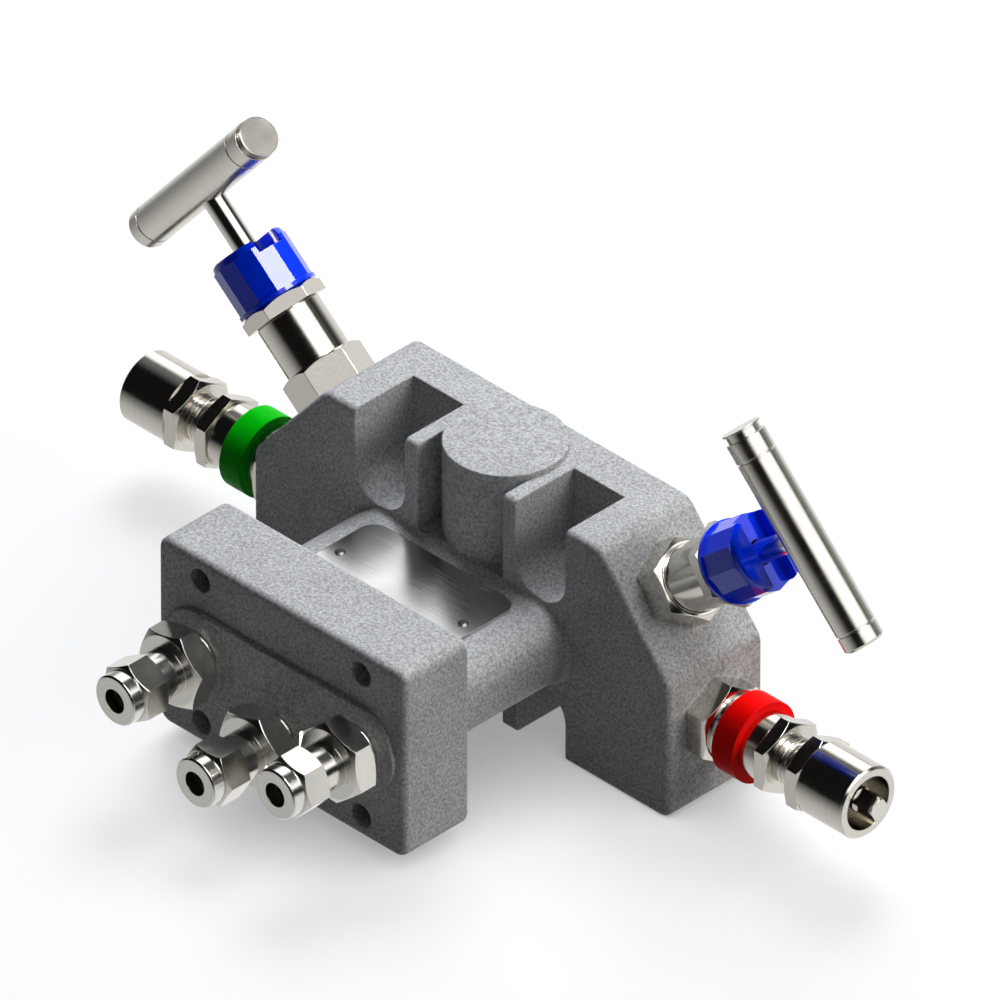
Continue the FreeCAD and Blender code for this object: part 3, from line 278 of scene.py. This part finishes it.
def moulded_finish(name, base, dark, roughness, coat):
    """Moulded plastic: faint flow marks, fine surface grain and lighter edges, scuffed and a
    painted highlight.
    """
    constants = {"Coat_Roughness": 0.06, "Specular_IOR_Level": 0.08, "IOR": 1.45}
    material, tree, shader = new_material(name, Coat_Weight=coat, **constants)
    place = object_place(tree)
    flow = noise(tree, place, scale=220.0)
    fine = noise(tree, place, scale=2400.0)
    rounded, edges = edge_mask(tree, 0.3 * MM)
    tone = mix_colour(tree, map_range(tree, flow, NOISE_SPAN), colour(*dark), colour(*base))
    # Lighter edges: scuffs and a painted edge highlight
    scuff_highlight_lift = 0.08
    scuffed_highlight = colour(*(min(1.0, part + scuff_highlight_lift) for part in base))
    tone = wear_and_highlight(tree, tone, edges, 0.4, scuffed_highlight)
    rough = map_range(tree, fine, NOISE_SPAN, (roughness - 0.04, roughness + 0.06))
    normal = bump(tree, fine, strength=0.12, distance=0.03 * MM, normal=rounded)
    link_surface(tree, shader, tone, rough, normal)
    return material


def plate_finish():
    """Thin polished sheet, faintly brushed along its length."""
    material, tree, shader = new_material("plate_sheet", Metallic=1.0)
    place = object_place(tree)
    drawn_out = {"Vector": place, "Scale": (60.0, 2600.0, 60.0)}
    brushing = node(tree, "ShaderNodeMapping", drawn_out).outputs["Vector"]
    lines = noise(tree, brushing, scale=1.0, detail=3.0, roughness=0.6)
    cloud = noise(tree, place, scale=60.0)
    rounded, edges = edge_mask(tree, 0.2 * MM)
    streaks = map_range(tree, lines, NOISE_SPAN)
    base = mix_colour(tree, streaks, SHEET_DARK, SHEET_PALE)
    # Lighter edges: wear and a painted edge highlight
    base = wear_and_highlight(tree, base, edges, 0.4, WORN_HIGHLIGHT_SHEET)
    brushed = map_range(tree, lines, NOISE_SPAN, (0.2, 0.26))
    clouded = map_range(tree, cloud, NOISE_SPAN, (-0.03, 0.06))
    rough = math_node(tree, "ADD", brushed, clouded)
    normal = bump(tree, lines, strength=0.1, distance=0.002 * MM, normal=rounded)
    link_surface(tree, shader, base, rough, normal)
    return material


def dress(name, material):
    """Gives a CAD node its finish, on the object and not on the mesh."""
    for slot in NODES[name].material_slots:
        slot.link = "OBJECT"
        slot.material = material


dress("manifold_casting", casting_finish())
dress("nameplate", plate_finish())
upright = (Vector((0, 0, 0)), Vector((0, 0, 1)))
dress("nameplate_pins", steel_finish("pin_steel", PIN_STEEL, 0.45, *upright))
white_plastic = moulded_finish("packing_white", *PACKING_WHITE, roughness=0.4, coat=0.0)
dress("instrument_seals", white_plastic)
for port in PORTS:
    fitting = steel_finish(f"fitting_{port}", BRIGHT, 0.16, *AXES[f"port_{port}"])
    dress(f"connector_body_{port}", fitting)
    dress(f"tube_nut_{port}", fitting)
dress("front_ferrules", fitting)
dress("back_ferrules", fitting)
blue = moulded_finish("cap_blue", *CAP_BLUE, roughness=0.3, coat=0.8)
green = moulded_finish("band_green", *BAND_GREEN, roughness=0.5, coat=0.0)
red = moulded_finish("band_red", *BAND_RED, roughness=0.5, coat=0.0)
bands = {"equalise": green, "vent": red}
steels = {}
for valve in ("isolate_left", "isolate_right", "equalise", "vent"):
    steels[valve] = steel_finish(f"{valve}_steel", STEEL, 0.13, *AXES[valve])
    rod = steel_finish(f"{valve}_rod", BRIGHT, 0.12, *AXES[valve], rings=4000.0)
    for name in NODES:
        if not name.startswith(valve):
            continue
        if name.endswith("packing"):
            dress(name, white_plastic)
        elif name.endswith(("stem", "spindle", "needle")):
            dress(name, rod)
        elif name.endswith("dust_cap"):
            dress(name, blue)
        elif name.endswith("colour_band"):
            dress(name, bands[valve])
        elif name.endswith("_handle"):
            smooth = {"rings": 3000.0, "depth": 0.001 * MM}
            dress(name, steel_finish(f"{name}_bar", STEEL, 0.2, *AXES[name], **smooth))
        else:
            dress(name, steels[valve])


# Exposed threads


STEPS_A_TURN = 48
# How far a thread starts under the surface, and the half widths of its root and crest in leads
SUNK = 0.05 * MM
ROOT_HALF = 0.42
CREST_HALF = 0.08
# The thread reaches its full depth over one part in so many of its length, at both ends
RUN_OUT_PARTS = 8.0
# The gap between lock nut and shroud, above the nut's top, in millimetres
ADJUSTER_GAP = (0.55, 5.55)
ADJUSTER_THREAD = {"radius": 5.8 * MM, "lead": 1.5 * MM, "depth": 0.45 * MM}
CONNECTOR_THREAD = {
    "radius": 6.6 * MM,
    "low": 0.5 * MM,
    "high": 2.6 * MM,
    "lead": 1.2 * MM,
    "depth": 0.35 * MM,
}


def thread(name, axis_line, radius, low, high, lead, depth, material):
    """A raised helical thread round a turned piece, which runs out at both ends."""
    origin, axis = axis_line
    across = axis.orthogonal().normalized()
    other = axis.cross(across)
    turns = (high - low) / lead
    count = int(turns * STEPS_A_TURN)
    root = radius - SUNK
    corners = []
    for step in range(count + 1):
        share = step / count
        angle = 2 * math.pi * turns * share
        outwards = across * math.cos(angle) + other * math.sin(angle)
        run_out = min(1.0, RUN_OUT_PARTS * share, RUN_OUT_PARTS * (1.0 - share))
        crest = radius + depth * run_out
        middle = low + (high - low) * share
        for out, along in (
            (root, middle - ROOT_HALF * lead),
            (crest, middle - CREST_HALF * lead),
            (crest, middle + CREST_HALF * lead),
            (root, middle + ROOT_HALF * lead),
        ):
            corners.append(origin + outwards * out + axis * along)
    faces = []
    for step in range(count):
        for side in range(4):
            first, second = 4 * step + side, 4 * step + (side + 1) % 4
            faces.append((first, second, second + 4, first + 4))
    faces.append((3, 2, 1, 0))
    faces.append(tuple(4 * count + side for side in range(4)))
    mesh = bpy.data.meshes.new(name)
    mesh.from_pydata(corners, [], faces)
    mesh.materials.append(material)
    piece = bpy.data.objects.new(name, mesh)
    bpy.context.scene.collection.objects.link(piece)
    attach(piece, "root")


for valve, nut_top in (("equalise", 26.7), ("vent", 25.9)):
    low, high = ((nut_top + above) * MM for above in ADJUSTER_GAP)
    name = f"{valve}_adjuster_thread"
    thread(name, AXES[valve], low=low, high=high, material=steels[valve], **ADJUSTER_THREAD)
for port in PORTS:
    name = f"connector_thread_{port}"
    thread(name, AXES[f"port_{port}"], material=fitting, **CONNECTOR_THREAD)


# Floor


FLOOR_REACH = 3.0
FLOOR_CENTRE = (0.0, -0.06, 0.0)
FADE_TO_WHITE = (0.17, 0.34)
FLOOR_PAPER = colour(0.22, 0.22, 0.22)
FLOOR_UNSEEN = colour(0.2, 0.2, 0.2)
FLOOR_GLOW = 0.74
FLOOR_GLOW_TINT = colour(0.97, 0.985, 1.0)
# Painted contact shade: how near the object has to be to darken the floor's glow; the open share
# and the glow it leaves
SHADE_REACH = 0.045
SHADE = ((0.15, 0.6), (0.45, 1.0))
WHITE = colour(1.0, 1.0, 1.0)


def seen_directly(tree, path):
    """1 for rays from the camera, also through glass."""
    camera_ray, through_glass = path.outputs["Is Camera Ray"], path.outputs["Is Transmission Ray"]
    return math_node(tree, "MAXIMUM", camera_ray, through_glass)


def stage_floor(level):
    """A pale floor that takes the soft shadow of the lamps, and painted contact shade in its glow
    near the object; further out it is plain white to the camera.
    """
    corners = [(x, y, level) for x, y in ((-1, -1), (1, -1), (1, 1), (-1, 1))]
    corners = [(x * FLOOR_REACH, y * FLOOR_REACH, z) for x, y, z in corners]
    mesh = bpy.data.meshes.new("floor")
    mesh.from_pydata(corners, [], [(0, 1, 2, 3)])
    floor = bpy.data.objects.new("floor", mesh)
    bpy.context.scene.collection.objects.link(floor)
    material = bpy.data.materials.new("floor_white")
    material.use_nodes = True
    tree = material.node_tree
    tree.nodes.clear()
    path = node(tree, "ShaderNodeLightPath")
    # Ambient occlusion darkens the glow near the object: painted contact shade
    openness = node(tree, "ShaderNodeAmbientOcclusion", {"Distance": SHADE_REACH}, samples=12)
    shaded = map_range(tree, openness.outputs["AO"], *SHADE)
    strength = math_node(tree, "MULTIPLY", shaded, FLOOR_GLOW)
    paper = node(tree, "ShaderNodeBsdfDiffuse", {"Color": FLOOR_PAPER})
    glow = node(tree, "ShaderNodeEmission", {"Color": FLOOR_GLOW_TINT, "Strength": strength})
    lit = node(tree, "ShaderNodeAddShader", {0: paper.outputs[0], 1: glow.outputs[0]})
    white = node(tree, "ShaderNodeEmission", {"Color": WHITE, "Strength": 1.0})
    centred = vector_node(tree, "SUBTRACT", object_place(tree), FLOOR_CENTRE)
    away = vector_node(tree, "LENGTH", centred.outputs["Vector"]).outputs["Value"]
    shown = mix_shader(tree, map_range(tree, away, FADE_TO_WHITE), lit, white)
    unseen = node(tree, "ShaderNodeBsdfDiffuse", {"Color": FLOOR_UNSEEN})
    result = mix_shader(tree, seen_directly(tree, path), unseen, shown)
    # Metal looks through the floor to the pale ground that the world paints
    clear = node(tree, "ShaderNodeBsdfTransparent")
    result = mix_shader(tree, path.outputs["Is Glossy Ray"], result, clear)
    output = tree.nodes.new("ShaderNodeOutputMaterial")
    tree.links.new(result.outputs[0], output.inputs["Surface"])
    mesh.materials.append(material)


# What metal sees round it


DARK_ROOM = 0.008
# Bearing and half spread in degrees, borders as sines of the height, softness, brightness
REFLECTED_PANELS = (
    (4.5, 43.0, (0.38, 1.3), 0.1, 1.8),
    (9.0, 18.0, (0.74, 1.3), 0.07, 24.0),
    (121.0, 20.0, (0.3, 0.83), 0.09, 2.2),
    (150.0, 24.0, (0.6, 0.95), 0.3, 0.2),
    (114.0, 32.0, (-1.5, 0.3), 0.25, 1.0),
    (68.0, 15.0, (-0.2, 0.36), 0.2, 0.35),
    (75.0, 25.0, (0.5, 1.3), 0.15, 0.1),
)
# The ground: ranges of height and the brightness over them, in front and right underneath
GROUND_IN_FRONT = ((0.02, -0.5), (0.0, 0.56))
GROUND_UNDERNEATH = ((-0.5, -0.85), (0.0, 0.2))
# White ground behind the object: heights of its border, then bearing, half spread, softness
HORIZON = (0.02, -0.12)
WHITE_GROUND = (75.0, 98.0, 0.4)
EVEN_LIGHT = 0.04
EVEN_TINT = colour(0.85, 0.93, 1.0)


def between(tree, value, low, high, soft):
    """1 inside a range and 0 outside it, with soft borders."""
    rise = map_range(tree, value, (low - soft, low + soft))
    fall = map_range(tree, value, (high - soft, high + soft), (1.0, 0.0))
    return math_node(tree, "MULTIPLY", rise, fall)


def sector(tree, azimuth, bearing, spread, soft):
    """1 within the spread on both sides of a bearing, in degrees, with soft borders."""
    turned = math_node(tree, "SUBTRACT", azimuth, math.radians(bearing))
    inputs = {0: turned, 1: math.pi, 2: -math.pi}
    wrapped = node(tree, "ShaderNodeMath", inputs, operation="WRAP").outputs[0]
    half = math.radians(spread)
    return between(tree, wrapped, -half, half, soft)


def mirrored_room(tree):
    """Brightness that metal mirrors: a dark room with bright panels and a pale ground."""
    direction = node(tree, "ShaderNodeTexCoord").outputs["Generated"]
    split = node(tree, "ShaderNodeSeparateXYZ", {0: direction})
    height = split.outputs["Z"]
    azimuth = math_node(tree, "ARCTAN2", split.outputs["Y"], split.outputs["X"])
    front = map_range(tree, height, *GROUND_IN_FRONT)
    front = math_node(tree, "ADD", front, map_range(tree, height, *GROUND_UNDERNEATH))
    back = map_range(tree, height, HORIZON)
    back = math_node(tree, "MULTIPLY", back, sector(tree, azimuth, *WHITE_GROUND))
    level = math_node(tree, "MAXIMUM", math_node(tree, "MAXIMUM", front, back), DARK_ROOM)
    for bearing, spread, heights, soft, brightness in REFLECTED_PANELS:
        across = sector(tree, azimuth, bearing, spread, soft)
        panel = math_node(tree, "MULTIPLY", across, between(tree, height, *heights, 0.5 * soft))
        lit = math_node(tree, "MULTIPLY", panel, brightness)
        level = math_node(tree, "MAXIMUM", level, lit)
    return level


def studio_world():
    """Soft even light for matt surfaces, the mirrored room for metal, and white to the camera."""
    world = bpy.data.worlds.new("studio")
    bpy.context.scene.world = world
    world.use_nodes = True
    tree = world.node_tree
    tree.nodes.clear()
    path = node(tree, "ShaderNodeLightPath")
    room = {"Color": grey(tree, mirrored_room(tree)), "Strength": 1.0}
    mirrored = node(tree, "ShaderNodeBackground", room)
    even = node(tree, "ShaderNodeBackground", {"Color": EVEN_TINT, "Strength": EVEN_LIGHT})
    white = node(tree, "ShaderNodeBackground", {"Color": WHITE, "Strength": 1.0})
    glossy = mix_shader(tree, path.outputs["Is Glossy Ray"], even, mirrored)
    result = mix_shader(tree, seen_directly(tree, path), glossy, white)
    output = tree.nodes.new("ShaderNodeOutputWorld")
    tree.links.new(result.outputs[0], output.inputs["Surface"])


# Lamps and camera


LAMP_TARGET = Vector((0.0, -0.05, 0.0))
CAMERA_TARGET = point(7.484, -25.0, 28.324)
# Far enough for nearly parallel lines, near enough for the far clip of the other views
CAMERA_DISTANCE = 11.0
CAMERA_CLIP = (1.0, 30.0)
PIXELS_A_METRE = 4207.0
PICTURE_WIDTH = 1000
SENSOR_WIDTH = 36.0


def lamp(name, place, size, power, tint):
    """A soft panel of light for matt surfaces; metal sees the panels of the world in its place."""
    light = bpy.data.lights.new(name, "AREA")
    light.shape = "RECTANGLE"
    light.size, light.size_y = size
    light.energy = power
    light.color = tint
    piece = bpy.data.objects.new(name, light)
    piece.visible_glossy = False
    piece.location = place
    aim = LAMP_TARGET - Vector(place)
    piece.rotation_euler = aim.to_track_quat("-Z", "Y").to_euler()
    bpy.context.scene.collection.objects.link(piece)


def camera():
    """Nearly parallel view from the front right and above, at equal angles to the three axes."""
    away = Vector((1, -1, 1)).normalized()
    lens_data = bpy.data.cameras.new("camera")
    lens_data.sensor_width = SENSOR_WIDTH
    lens_data.lens = PIXELS_A_METRE * CAMERA_DISTANCE / PICTURE_WIDTH * SENSOR_WIDTH
    lens_data.clip_start, lens_data.clip_end = CAMERA_CLIP
    eye = bpy.data.objects.new("camera", lens_data)
    eye.location = CAMERA_TARGET + away * CAMERA_DISTANCE
    eye.rotation_euler = (-away).to_track_quat("-Z", "Y").to_euler()
    bpy.context.scene.collection.objects.link(eye)
    bpy.context.scene.camera = eye


stage_floor(cad_box[0][2])
studio_world()
lamp("right_panel", (0.85, 0.33, 0.46), size=(0.7, 0.5), power=6.8, tint=(1.0, 0.965, 0.91))
lamp("top_panel", (-0.33, 0.42, 0.88), size=(0.6, 0.6), power=16.5, tint=(0.93, 0.965, 1.0))
camera()
bpy.context.scene.view_settings.view_transform = "Standard"
